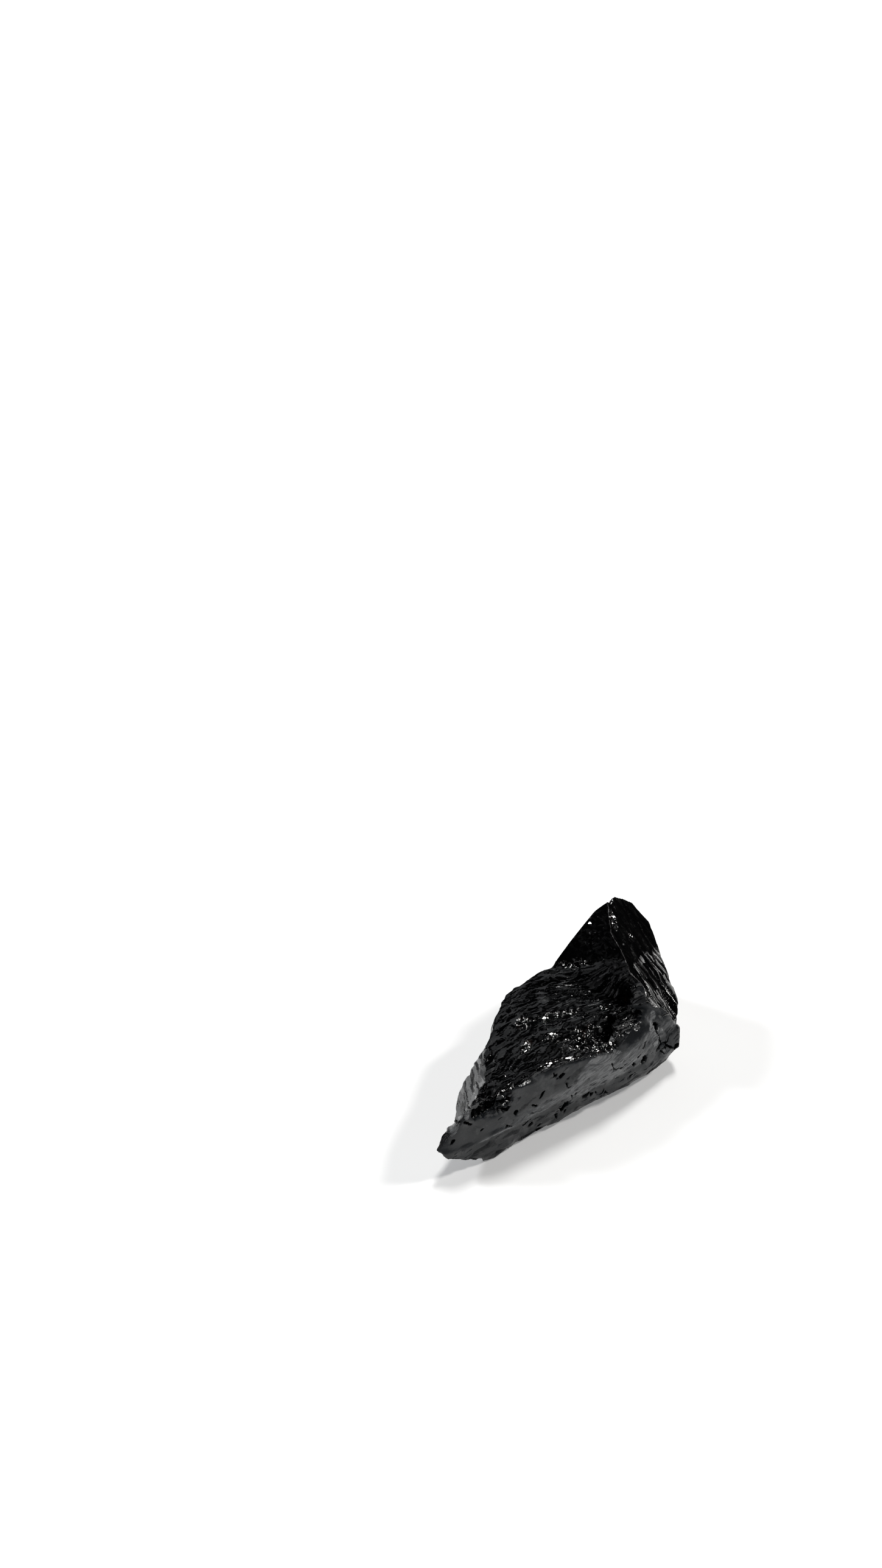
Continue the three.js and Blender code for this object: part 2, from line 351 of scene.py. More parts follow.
# where the top face is broken into small bright grains: place, radii, turn, how widely set
GRAINY = (
    ((-4.4, -0.1), (1.9, 2.4), 0.0, 0.36),
    ((2.4, -1.8), (5.2, 1.0), -0.20, 0.46),
    ((7.2, -3.2), (1.8, 0.7), 0.0, 0.46),
    ((-7.6, -6.8), (2.4, 1.0), 0.5, 0.48),
    ((-1.0, -7.0), (2.4, 0.8), 0.1, 0.54),
    ((6.4, -8.4), (4.2, 1.1), 0.05, 0.46),
    ((7.2, -11.6), (4.8, 3.2), -0.15, 0.58),
    ((9.8, -13.6), (2.4, 1.8), 0.0, 0.58),
    ((14.4, -5.2), (1.6, 0.8), 0.0, 0.50),
    ((19.6, -5.9), (1.9, 1.2), -0.9, 0.40),
    ((14.9, 8.7), (4.4, 1.2), -0.85, 0.52),
    ((25.9, 9.4), (0.7, 3.2), -0.25, 0.56),
    ((27.9, 5.0), (0.5, 0.9), -0.2, 0.50),
    ((-20.3, -15.6), (5.4, 1.5), 0.06, 0.62),
    ((19.4, -11.8), (1.5, 0.9), 0.3, 0.56),
)
patches = [(patch(*spot), widely) for *spot, widely in GRAINY]
grainy = np.maximum.reduce([share for share, _ in patches])
scatter = np.maximum.reduce([share * widely for share, widely in patches])
upper = np.clip(1 - low_side, 0, 1) * ramp(z, 11.0, 13.0)
grainy = grainy * upper
scatter = 1.3 * scatter * upper

# where the top's front edge is bright: the middle of each stretch, its half length, its slant
BROW = (
    ((-12.8, -15.2), 1.7, 0.0),
    ((-6.4, -13.9), 2.8, 0.05),
    ((-1.4, -14.1), 2.2, -0.2),
)
BROW_WIDTH = 0.42


def stretch(centre, half_length, slant):
    """1 along a short straight stretch in plan, falling to 0 past its ends and its sides."""
    dx = x - centre[0]
    aside = y - centre[1] - slant * dx
    return np.exp(-((dx / half_length) ** 4) - (aside / BROW_WIDTH) ** 4)


brow = np.maximum.reduce([stretch(*spot) for spot in BROW]) * ramp(z, 15.9, 16.5)

# the hollow at the foot of the peak: its middle and its half widths
HOLLOW_AT = (13.2, -8.2, 15.2)
HOLLOW_SIZE = (3.4, 2.0, 3.0)


def in_hollow(places, on_front):
    """1 in the middle of the hollow, falling to 0 past its rim and on the front face."""
    reach = (((places - HOLLOW_AT) / HOLLOW_SIZE) ** 2).sum(1)
    return np.exp(-(reach**2)) * (1 - on_front)


# ---------- soften the CAD's flat scars, then work the smooth relief in ----------

SOFT_ROUNDS = 14
HOLLOW_ROUNDS = 60
SOFT_SHARE = 0.6

ease = 0.35 + 0.65 * np.clip(front + peak_face + top + 0.6 * back, 0, 1)
surface.at = surface.smooth(surface.at, SOFT_ROUNDS, SOFT_SHARE * ease)
surface.at = surface.smooth(surface.at, HOLLOW_ROUNDS, SOFT_SHARE * in_hollow(surface.at, front))
normal = surface.normals()
place = surface.at.copy()
x, y, z = place.T

# broad unevenness of the whole stone, least on the glassy face under the peak
uneven = 0.25 * noise(place / 7.0, 1) + 0.12 * noise(place / 3.2, 5)
lift = uneven * (1 - 0.85 * peak_face) * (1 - 0.4 * front)

# the front face swells a little along its fold
FOLD_SWELL = 0.22
FOLD_WIDTH = 0.7
lift += front * (0.10 * noise(place / [6, 6, 2.4], 46))
lift += front * FOLD_SWELL * np.exp(-((above_fold / FOLD_WIDTH) ** 2))

# thin curved cracks, between cells of this size
CRACKED_SIZE = (6.0, 6.0, 3.4)
CRACK_DEPTH = 0.35
warp = stacked(*(noise(place / 1.8, seed) for seed in (51, 52, 53)))
crack_first, crack_second, _, _ = cells((place + 1.3 * warp) / CRACKED_SIZE, 54)
crack = 1 - ramp(crack_second - crack_first, 0.01, 0.075)
crack = crack * ramp(noise(place / 4.0, 55), 0.30, 0.48) * front * ramp(x, -21, -18)
lift -= CRACK_DEPTH * crack

# angular notches: where, how long and high, how turned, how deep
NOTCHES = (
    ((-3.4, 6.1), (1.5, 0.75), 0.75, 1.2),
    ((-4.1, 5.1), (0.5, 0.8), 0.2, 0.9),
    ((2.7, 5.9), (0.75, 0.4), 0.5, 0.8),
    ((-5.6, 3.6), (0.3, 0.9), -0.1, 0.6),
    ((19.3, 7.9), (0.85, 0.55), 0.9, 1.0),
    ((17.8, 9.5), (0.6, 0.22), 0.5, 0.5),
    ((16.0, 8.2), (0.4, 0.3), 0.3, 0.6),
    ((13.4, 9.7), (0.35, 0.3), 0.3, 0.6),
    ((15.2, 5.4), (1.0, 0.2), 0.5, 0.5),
    ((24.8, 12.3), (0.5, 0.6), 0.6, 0.9),
    ((24.6, 10.2), (0.13, 1.9), 0.15, 0.4),
    ((27.0, 6.9), (2.3, 0.13), -0.75, 0.35),
    ((-31.9, 8.5), (0.8, 0.08), 0.75, 0.25),
    ((-24.8, 9.5), (0.5, 0.14), 0.4, 0.3),
    ((-18.0, 12.2), (0.9, 0.2), 0.6, 0.5),
    ((24.1, 8.3), (0.8, 0.25), 0.6, 0.6),
    ((29.5, 5.6), (0.7, 0.25), 0.7, 0.5),
    ((30.3, 11.5), (0.35, 0.8), 0.1, 0.7),
    ((-12.4, 4.6), (0.7, 0.3), 0.5, 0.6),
    ((-13.9, 6.4), (0.9, 0.25), 0.5, 0.45),
    ((-10.2, 3.2), (0.6, 0.35), 0.3, 0.5),
    ((-9.0, 12.1), (0.9, 0.2), 0.9, 0.4),
    ((-11.3, 10.2), (0.8, 0.18), -0.5, 0.4),
    ((-3.5, 14.6), (0.9, 0.3), 0.4, 0.5),
)
notched = np.zeros(len(x))
for centre, radii, turn, depth in NOTCHES:
    dx, dz = x - centre[0], z - centre[1]
    along = (dx * math.cos(turn) + dz * math.sin(turn)) / radii[0]
    across = (dz * math.cos(turn) - dx * math.sin(turn)) / radii[1]
    reach = np.maximum(np.abs(along + 0.4 * across), np.abs(across)) + 0.4 * noise(place / 0.55, 57)
    notch = np.clip(front + right, 0, 1) * (1 - ramp(reach, 0.55, 1.1))
    lift -= notch * depth
    notched = np.maximum(notched, notch)
grounded = ramp(z, 0.10, 0.9) * (1 - 0.8 * low_side)
surface.at = surface.at + normal * (lift * grounded)[:, None]
facing = surface.normals()

# a thin line along the crest's edge stands a little proud of the crest
ridge_line = np.exp(-((right_of_ridge / 0.28) ** 2)) * ramp(z, 17.5, 19)

zones = {
    "top": top,
    "back": back,
    "front": front,
    "right": right,
    "step": step,
    "peak_face": peak_face,
    "crest_right": crest_right,
    "grainy": grainy,
    "scatter": scatter,
    "apron": apron,
    "brow": brow,
    "above_fold": above_fold,
    "cut": np.maximum(notched, crack),
    "ridge": right_of_ridge,
}

# ---------- the broken relief: flat plates and facets, region by region ----------

# the ways the grain runs and the ways across it
RIGHTWARD = np.array([1.0, 0.0, 0.0])
BACKWARD = np.array([0.0, 1.0, 0.0])
UPWARD = np.array([0.0, 0.0, 1.0])
FRONT_ACROSS = np.array([-0.22, 0.0, 1.0])
SPLINTER = np.array([0.17, -0.88, -0.44])
SPLINTER_ACROSS = np.array([-0.90, 0.05, -0.44])
STEP_RUN = np.array([0.40, 0.85, -0.26])
STEP_RUN /= np.linalg.norm(STEP_RUN)
STEP_ACROSS = np.cross(STEP_RUN, (-0.8, 0.1, 0.6))
STEP_ACROSS /= np.linalg.norm(STEP_ACROSS)

# how far above the fold the lit band of the front face reaches, from left to right
BAND_X = (-2.0, 2.0, 8.0, 10.5, 12.5, 20.0)
BAND_TOP = (0.8, 4.8, 6.5, 5.0, 2.6, 2.2)

# pale facets and ridges, painted highlights where they catch the light: from where to where, how
# wide, how light
PAINTED_LIGHT_FACETS = (
    ((25.0, -10.4, 14.6), (23.2, -13.0, 12.6), 0.75, 0.85),
    ((23.2, -13.0, 12.6), (23.3, -14.9, 9.6), 0.8, 0.85),
    ((25.3, -15.8, 7.0), (25.8, -15.8, 5.6), 0.8, 0.6),
    ((11.2, -15.4, 14.2), (12.6, -15.4, 13.0), 0.5, 0.9),
    ((11.4, -9.2, 15.0), (11.7, -12.9, 15.3), 0.7, 0.5),
    ((2.6, 3.4, 16.9), (3.8, 3.3, 17.1), 0.9, 0.2),
    ((26.6, -10.6, 13.2), (27.4, -12.0, 11.4), 0.5, 0.5),
    ((-31.6, -15.8, 10.4), (-30.2, -15.5, 12.2), 0.6, 0.8),
    ((-27.2, -14.4, 15.0), (-27.7, -15.3, 13.6), 0.6, 0.8),
    ((18.6, -15.0, 11.4), (20.2, -15.2, 10.8), 0.5, 0.5),
)

# black broken pits in the front face: from where to where, how wide
PITS = (
    ((-25.6, -14.9, 13.4), (-21.0, -15.0, 14.3), 1.1),
    ((-21.0, -15.0, 14.3), (-17.4, -15.6, 14.4), 0.8),
    ((-19.8, -16.4, 12.7), (-18.0, -16.4, 11.9), 0.5),
    ((-28.4, -15.8, 12.7), (-27.1, -16.0, 11.6), 0.38),
)
PIT_DEPTH = 0.40

# plates: length and width, seed, the most they slope along and across, the lean across that all
# of them have, how much their heights differ, how steeply their rims fall, how deep they lie
BROAD_STROKES = ((7.0, 2.4), 21, (0.06, 0.08), -0.06, 0.30, 1.2, 0.15)
STROKES = ((3.4, 0.85), 22, (0.12, 0.13), -0.12, 0.14, 1.6, 0.18)
LONG_FLAKES = ((5.2, 1.1), 43, (0.07, 0.18), 0.0, 0.20, 1.1, 0.12)
SHEETS = ((6.5, 3.2), 47, (0.06, 0.07), 0.0, 0.10, 1.0, 0.05)
SCALES = ((4.6, 2.4), 44, (0.14, 0.20), -0.04, 0.34, 1.0, 0.20)
SHARDS = ((2.0, 0.8), 45, (0.09, 0.14), 0.0, 0.07, 0.9, 0.05)
SPLINTERS = ((6.5, 0.55), 62, (0.04, 0.05), 0.06, 0.20, 1.5, 0.2)
COLUMNS = ((9.0, 2.6), 65, (0.06, 0.20), 0.0, 0.45, 1.2, 0.2)
RIBS = ((4.0, 1.1), 72, (0.10, 0.22), 0.0, 0.24, 1.3, 0.12)

# the grains' facets: sizes and seeds, how steeply they are set and how deep they lie
GRAIN_SIZES = ((1.5, 31), (0.85, 32))
GRAIN_TILT = 0.34
GRAIN_DEPTH = 0.07

# the finest strokes: length and width on the top, the front and right, the crest and the step
TOP_LINE = (1.5, 0.42)
FRONT_LINE = (1.3, 0.24)
CREST_LINE = (3.4, 0.21)
STEP_LINE = (2.4, 0.34)

# roughness of each kind of surface; where two are given, the flats differ by the second
GLASS_ROUGH = (0.08, 0.06)
GRAIN_ROUGH = 0.14
PIT_ROUGH = 0.16
RIB_ROUGH = (0.22, 0.06)
SPLINTER_ROUGH = 0.24
SATIN_ROUGH = (0.26, 0.06)
FLAKE_ROUGH = 0.34

# dust on the front's lit band and how much its flakes differ; painted sheen, standing in for
# reflected light, on the ribs, the splinters and the peak's tip
BAND_DUST = (0.60, 0.65)
RIB_PAINTED_SHEEN = 0.62
SPLINTER_PAINTED_SHEEN = 0.9
TIP_PAINTED_SHEEN = 0.035


def near_line(place, start, end):
    """Distance from places to a line from start to end."""
    start, end = np.array(start), np.array(end)
    part = np.clip((place - start) @ (end - start) / ((end - start) @ (end - start)), 0, 1)
    return np.linalg.norm(place - start - part[:, None] * (end - start), axis=1)


def top_grain(place):
    """How far along and across the top's grain places lie, and how the grain bends there."""
    x, y, _ = place.T
    toward_back = ramp(y, -14, 6)
    across = y + toward_back * (0.015 * x * x + 0.14 * x) - (1 - toward_back) * 0.18 * x
    across = across + 0.9 * noise(place / [5, 4, 5], 11) + 0.25 * noise(place / [2.2, 1.6, 2], 12)
    along = x + 1.2 * noise(place / [3, 2, 3], 13)
    bend = toward_back * (0.03 * x + 0.14) - (1 - toward_back) * 0.18
    return along, across, bend


def front_grain(place):
    """The same for the front face, whose flakes climb a little to the right."""
    x, _, z = place.T
    return x + 0.8 * noise(place / 2.5, 42), z - 0.22 * x + 0.6 * noise(place / [5, 5, 3], 41)


def crest_grain(place):
    """The same for the crest's right side, whose splinters run down toward the front."""
    return place @ SPLINTER, place @ SPLINTER_ACROSS + 0.35 * noise(place / 3, 61)


def step_grain(place):
    """The same for the step at the left, whose ribs run down its slope."""
    return place @ STEP_RUN, place @ STEP_ACROSS + 0.3 * noise(place / 2.5, 71)


def fine_cells(place, zone):
    """Places along and across the grain, counted in the finest strokes' lengths and widths."""
    along, across, _ = top_grain(place)
    fine = np.stack([along / TOP_LINE[0], across / TOP_LINE[1]], 1)
    for name, lines, size in (
        ("front", front_grain, FRONT_LINE),
        ("right", front_grain, FRONT_LINE),
        ("crest_right", crest_grain, CREST_LINE),
        ("step", step_grain, STEP_LINE),
    ):
        within = zone[name] > 0.5
        long_way, short_way = lines(place[within])
        fine[within] = np.stack([long_way / size[0], short_way / size[1]], 1)
    return np.column_stack([fine, np.zeros(len(place))])


class Broken:
    """The flats' relief at some places, with the finish of each: tone, roughness, dust and painted
    sheen.
    """

    def __init__(self, place, zone):
        self.place = place
        self.zone = zone
        self.lift = np.zeros(len(place))
        self.slope = np.zeros((len(place), 3))
        self.on_top, self.on_back, self.on_crest, self.on_step = (
            (zone[name] > 0.5).astype(float) for name in ("top", "back", "crest_right", "step")
        )
        self.lay_top()
        self.lay_grains()
        self.lay_front()
        self.lay_crest()
        self.lay_right_end()
        self.lay_step()
        self.sink_pits()
        self.finish_flats()
        self.spread_dust_and_sheen()
        self.turn_strokes()

    def lay(self, weight, height, gradient):
        """Add flats of some height and slope."""
        self.lift += weight * height
        self.slope += weight[:, None] * gradient

    def lay_plates(self, weight, places, layer, ways, share=0.0, rise=0.0):
        """Add plates, given places along and across the two ways, and give back their hashes."""
        height, slopes, owner = plates(*places, *layer, share, rise)
        self.lay(weight, height, slopes[:, :1] * ways[0] + slopes[:, 1:] * ways[1])
        return owner

    def lay_top(self):
        """Strokes that follow a grain which bends from left to right."""
        along, across, bend = top_grain(self.place)
        self.over_grain = stacked(bend, np.ones(len(bend)), np.zeros(len(bend)))
        self.streaky = np.clip(self.on_top + 0.6 * self.on_back, 0, 1)
        here = self.streaky * (1 - 0.6 * self.zone["grainy"])
        upright = 0.60 - 0.26 * ramp(self.place[:, 1], -11, -2)
        ways = (RIGHTWARD, self.over_grain)
        self.lay_plates(here, (along, across), BROAD_STROKES, ways)
        self.stroke = self.lay_plates(here, (along, across), STROKES, ways, upright, 0.50)

    def lay_grains(self):
        """Small flat facets set every way."""
        for size, seed in GRAIN_SIZES:
            size = np.array([size, size * 0.8, size * 0.8])
            height, slope = facets(self.place, size, seed, GRAIN_TILT)
            self.lay(self.zone["grainy"], height - GRAIN_DEPTH, slope)

    def lay_front(self):
        """Long flakes in a band along the fold, sheets above it, scales and shards below."""
        x = self.place[:, 0]
        above_fold = self.zone["above_fold"]
        self.below_fold = 1 - ramp(above_fold, -0.6, 0.6)
        off_fold = above_fold - 0.4
        band = np.exp(-((off_fold / np.where(off_fold < 0, 0.75, 1.6)) ** 2)) * ramp(x, -24, -8)
        wide = ramp(x, -5, 1) * (1 - ramp(x, 19, 24)) * ramp(above_fold, -3.0, -1.6)
        above_band = above_fold - np.interp(x, BAND_X, BAND_TOP) + noise(self.place / 1.8, 67)
        self.band = np.clip(band + wide * (1 - ramp(above_band, -0.5, 0.5)), 0, 1)
        front = self.zone["front"]
        lines, rise = front_grain(self.place)
        ways = (RIGHTWARD, FRONT_ACROSS)
        below_band = front * self.below_fold * (1 - self.band)
        strewn = front * np.clip(0.4 * self.below_fold + 0.6 * self.band, 0, 1)
        self.flake = self.lay_plates(front * self.band, (lines, rise), LONG_FLAKES, ways)
        self.lay_plates(front * (1 - self.below_fold), (lines, rise), SHEETS, ways)
        self.scale = self.lay_plates(below_band, (x, rise), SCALES, ways)
        self.lay_plates(strewn, (x, rise), SHARDS, ways)

    def lay_crest(self):
        """Splinters down the crest's right side that catch the light only on its lower half."""
        places = crest_grain(self.place)
        self.lower = ramp(places[0] + noise(self.place / 2.5, 66), -6.5, -3.5)
        often = 0.62 * self.lower
        ways = (SPLINTER, SPLINTER_ACROSS)
        self.splinter = self.lay_plates(self.on_crest, places, SPLINTERS, ways, often, 0.02)
        # the lit splinters are painted pale later: painted reflections of light
        self.lit = self.lower * (unit(self.splinter, 20) < often)

    def lay_right_end(self):
        """Upright columns and flat scars below the crest."""
        _, y, z = self.place.T
        places = (z, y + 0.4 * noise(self.place / 3, 64))
        ways = (UPWARD, BACKWARD)
        self.column = self.lay_plates(self.zone["right"], places, COLUMNS, ways)

    def lay_step(self):
        """Ribs down the slope of the step at the left."""
        ways = (STEP_RUN, STEP_ACROSS)
        self.rib = self.lay_plates(self.on_step, step_grain(self.place), RIBS, ways, 0.25, 0.6)

    def sink_pits(self):
        """Sunk pits, painted black as shade; notches and cracks are painted as black."""
        pit = np.zeros(len(self.place))
        rough_rim = 0.55 * noise(self.place / 0.7, 69)
        for begins, ends, wide_by in PITS:
            reach = near_line(self.place, begins, ends) / wide_by + rough_rim
            pit = np.maximum(pit, 1 - ramp(reach, 0.85, 1.05))
        self.pit = pit * (1 - self.on_step)
        self.lift -= PIT_DEPTH * self.pit
        # painted shade: in pits, notches and cracks the film and dust are left off
        self.pit_shade = np.clip(self.pit + 2 * self.zone["cut"], 0, 1)

    def finish_flats(self):
        """How light each flat is and how rough."""
        zone = self.zone
        tone = unit(self.stroke, 8)
        for name, plate in (
            ("front", np.where(self.band > 0.5, self.flake, self.scale)),
            ("crest_right", self.splinter),
            ("step", self.rib),
            ("right", self.column),
        ):
            tone = np.where(zone[name] > 0.5, unit(plate, 8), tone)
        self.tone = tone
        satin = np.clip(zone["front"] + 0.8 * zone["right"], 0, 1)
        self.is_satin = satin > 0.5
        # the satin film is left off in pits, notches and cracks as painted shade
        self.satin = satin * (1 - self.pit_shade)
        rough = GLASS_ROUGH[0] + GLASS_ROUGH[1] * tone
        rough = np.where(np.maximum(zone["grainy"], zone["brow"]) > 0.3, GRAIN_ROUGH, rough)
        rough = np.where(self.is_satin, SATIN_ROUGH[0] + SATIN_ROUGH[1] * tone, rough)
        rough = np.where(self.band * zone["front"] > 0.5, FLAKE_ROUGH, rough)
        rough = np.where(self.on_step > 0.5, RIB_ROUGH[0] + RIB_ROUGH[1] * tone, rough)
        rough = np.where(self.on_crest * self.lit > 0.4, SPLINTER_ROUGH, rough)
        self.rough = np.where(self.pit_shade > 0.5, PIT_ROUGH, rough)

    def spread_dust_and_sheen(self):
        """Dust on the front's band, less to the right and low down; painted highlights on its rim
        and on pale facets; painted sheen on the ribs, the lit splinters and the peak's tip.
        """
        x, _, z = self.place.T
        front = self.zone["front"]
        dust_and_sheen = self.band * front * (BAND_DUST[0] + BAND_DUST[1] * unit(self.flake, 8))
        dust_and_sheen = dust_and_sheen * (1 - 0.45 * ramp(x, 12, 20))
        dust_and_sheen = dust_and_sheen * (0.70 + 0.30 * ramp(z, 2.5, 5.5))
        # a painted highlight along the rim of the fold's flake
        painted_rim_highlight = np.exp(-(((self.zone["above_fold"] + 0.1) / 0.3) ** 2))
        painted_rim_highlight = painted_rim_highlight * (1 - ramp(x, -9, -5)) * ramp(x, -26.5, -24.5)
        dust_and_sheen = np.maximum(dust_and_sheen, 0.75 * painted_rim_highlight * front)
        # the step's ribs get painted sheen, standing in for the floor they reflect
        dust_and_sheen = dust_and_sheen + RIB_PAINTED_SHEEN * self.on_step * (0.20 + 0.80 * self.tone)
        # the crest's lit splinters get painted sheen, standing in for reflected light
        dust_and_sheen = dust_and_sheen + SPLINTER_PAINTED_SHEEN * self.on_crest * self.lit
        # a painted mottled reflection on the peak's tip
        tip_sheen = ramp(noise(self.place / 0.8, 96), -0.1, 0.4) * ramp(z, 19.5, 22.5)
        dust_and_sheen = np.maximum(dust_and_sheen, TIP_PAINTED_SHEEN * tip_sheen * self.zone["peak_face"])
        ragged = 0.3 * noise(self.place / 0.8, 68)
        # pale facets and ridges: painted highlights
        for begins, ends, wide_by, light in PAINTED_LIGHT_FACETS:
            reach = near_line(self.place, begins, ends) / wide_by + ragged
            dust_and_sheen = np.maximum(dust_and_sheen, light * (1 - ramp(reach, 0.9, 1.05)))
        self.dust_and_sheen = np.clip(dust_and_sheen, 0, 1) * (1 - self.pit_shade)

    def turn_strokes(self):
        """How the finest strokes are turned, how many stand up and how sharp their dust and painted
        sheen is.
        """
        _, y, z = self.place.T
        zone = self.zone
        turn = 0.13 * self.streaky * (1 - zone["grainy"]) * ramp(-zone["ridge"], 0.8, 2.0)
        turn = np.where(self.is_satin, 0.05 + 0.04 * self.band, turn)
        turn = np.where(self.on_crest > 0.5, 0.08 + 0.08 * self.lower, turn)
        turn = np.where(zone["peak_face"] > 0.5, 0.05 * ramp(z, 23.5, 25.5), turn)
        turn = np.where(self.on_step > 0.5, 0.14, turn)
        self.fine = turn * (1 - self.pit_shade)
        stands_low = 0.06 * np.clip(self.below_fold + 0.7 * self.band, 0, 1) + 0.004
        stands = (0.42 - 0.10 * ramp(y, -11, -2)) * (1 - zone["peak_face"])
        stands = np.where(self.is_satin, stands_low, stands)
        self.stands = np.where(self.on_step > 0.5, 0.16, stands)
        self.sharp = np.clip(self.on_crest + self.on_step, 0, 1)
        self.gaps = np.where(self.on_step > 0.5, 0.26, 0.57)
        over = made_unit(self.over_grain)
        over = np.where(self.is_satin[:, None], made_unit(FRONT_ACROSS), over)
        over = np.where((self.on_crest > 0.5)[:, None], -SPLINTER_ACROSS, over)
        self.over = np.where((self.on_step > 0.5)[:, None], STEP_ACROSS, over)


# how far the crest's edge line stands out, the whole skin is drawn in, and the box is kept clear
RIDGE_LINE_LIFT = 0.05
SKIN = 0.05
BOX_MARGIN = 0.01

relief = Broken(place, zones)
surface.at = surface.at + facing * ((relief.lift + RIDGE_LINE_LIFT * ridge_line) * grounded - SKIN)[:, None]
lowest, highest = np.array(cad_box) / MM
surface.at = np.clip(surface.at, lowest + BOX_MARGIN, highest - BOX_MARGIN)
surface.store()
carried = {**zones, "grounded": grounded, "place": place, "facing": facing}
for name, values in carried.items():
    surface.attribute(name, values)

# ---------- thin the mesh, then give every flat its own even normal ----------

# where the broad faces, the dark pits and the bright grains face
APRON_FACES = (-0.06, 0.06, 1.0)
CREST_FACES = (0.40, -0.20, 0.894)
PEAK_FACES = (-0.30, -0.42, 0.857)
HOLLOW_FACES = (0.03, 0.08, 0.99)
PIT_FACES = (-0.05, -0.42, 0.90)
PIT_GRAIN_FACES = (0.14, -0.42, 0.90)
CLUSTER_FACES = (0.03, -0.205, 0.978)
BROW_FACES = (0.03, -0.15, 0.988)

# the normals that would mirror the key, the left and the right lamp to the photo's viewpoint,
# and how many degrees flats and their finest strokes are kept from them
GLINTS = (
    ((0.025, -0.15, 0.989), 9.5, 11.0),
    ((-0.588, -0.003, 0.809), 15.0, 14.0),
    ((0.312, -0.477, 0.821), 13.0, 13.0),
)

# the underside, which nobody sees, is thinned most: three levels of keeping triangles
KEEP_LEVELS = (0.15, 0.6, 1.0)
HALF_LEVEL = 0.225

thin = stone.modifiers.new("thin", "DECIMATE")
thin.ratio = min(1.0, MOST_TRIANGLES / len(surface.triangles))
kept = stone.vertex_groups.new(name="kept")
keep = 1 - 0.85 * ramp(-nz, 0.8, 0.95) * (1 - ramp(z, 0.3, 1.0))
for level in KEEP_LEVELS:
    chosen = np.nonzero(np.abs(keep - level) < HALF_LEVEL)[0]
    kept.add(chosen.tolist(), level, "REPLACE")
thin.vertex_group = "kept"
thin.use_collapse_triangulate = True
apply_modifiers(stone)
stone.vertex_groups.clear()
mesh = stone.data
final = Surface(mesh)


def at_faces(values):
    """Vertex values averaged over each triangle."""
    return values[final.triangles].mean(1)


def blended(normals, direction, share):
    """Normals turned part of the way to a direction: none where share is 0, all where it is 1."""
    share = share.reshape([-1] + [1] * (normals.ndim - 1))
    return made_unit(normals * (1 - share) + np.asarray(direction) * share)


def turned_away(normals, direction, degrees, where):
    """Turn the normals that lie within some degrees of a direction out to that angle from it."""
    direction = np.array(direction) / np.linalg.norm(direction)
    along = normals @ direction
    aside = made_unit(normals - along[:, None] * direction)
    limit = math.radians(degrees)
    out = direction * math.cos(limit) + aside * math.sin(limit)
    near = (along > math.cos(limit)) & where
    return np.where(near[:, None], out, normals)


zone_at = {name: final.read(name) for name in zones}
zone = {name: at_faces(values) for name, values in zone_at.items()}
place_at = final.read("place")
flats = Broken(at_faces(place_at), zone)

# the broad faces are even: each leans to one direction
hollow_at = in_hollow(place_at, zone_at["front"])
facing = final.read("facing")
facing = blended(facing, APRON_FACES, 0.55 * zone_at["apron"])
facing = blended(facing, CREST_FACES, 0.82 * zone_at["crest_right"])
facing = blended(facing, PEAK_FACES, 0.75 * zone_at["peak_face"])
facing = blended(facing, HOLLOW_FACES, 0.8 * hollow_at)

# every triangle is flat: it takes the slope of its own plate or facet
corner_facing = facing[final.triangles]
slope = flats.slope * at_faces(final.read("grounded"))[:, None]
mean_facing = made_unit(corner_facing.mean(1))
slope = slope - (slope * mean_facing).sum(1)[:, None] * mean_facing
corner_normals = made_unit(corner_facing - slope[:, None, :])

# the steep rims of flats keep the mesh's own sharp facets
STEEP = math.radians(27)
p, q, r = (final.at[final.triangles[:, k]] for k in range(3))
own = made_unit(np.cross(q - p, r - p))
steep = (own * made_unit(corner_normals.mean(1))).sum(1) < math.cos(STEEP)
steep = steep & (zone["apron"] < 0.3) & (zone["crest_right"] < 0.5) & (zone["front"] < 0.5)
steep = steep & (at_faces(hollow_at) < 0.3) & (zone["peak_face"] < 0.5)
corner_normals = blended(corner_normals, own[:, None, :], steep.astype(float))

# pits, notches and cracks are dark; clusters and the bright stretches of the brow are not
middles = at_faces(final.at)
near_pit = np.maximum(1 - ramp(middles[:, 0], -17.5, -14.5), flats.pit)
clustered = 0.75 * zone["grainy"] * (1 - near_pit) * (1 - 0.6 * zone["crest_right"])
corner_normals = blended(corner_normals, PIT_FACES, flats.pit_shade)
corner_normals = blended(corner_normals, CLUSTER_FACES, clustered)
corner_normals = blended(corner_normals, PIT_GRAIN_FACES, 0.7 * zone["grainy"] * near_pit)
corner_normals = blended(corner_normals, BROW_FACES, np.clip(1.4 * zone["brow"], 0, 1))


def combed(normals, where):
    """Lay the top's flats back along the grain, or stand them up as risers, with none between."""
    lean_y = normals[:, 1]
    laid = np.where(lean_y > -0.28, np.clip(lean_y, 0.0, 0.22), np.minimum(lean_y, -0.44))
    out = normals.copy()
    out[:, 1] = np.where(where, laid, lean_y)
    return made_unit(out)


# broad flats lean: none lies where it would mirror a lamp whole
heights = middles[:, 2]
broad_flat = (zone["grainy"] < 0.15) & (zone["brow"] < 0.15) & (zone["front"] + zone["right"] < 0.5)
broad_flat = broad_flat & (heights > 4) & (flats.rough < 0.25)
on_top = broad_flat & (zone["top"] + zone["back"] > 0.5)
for corner in range(3):
    values = combed(corner_normals[:, corner], on_top)
    for glint, degrees, _ in GLINTS:
        values = turned_away(values, glint, degrees, broad_flat)
    corner_normals[:, corner] = values

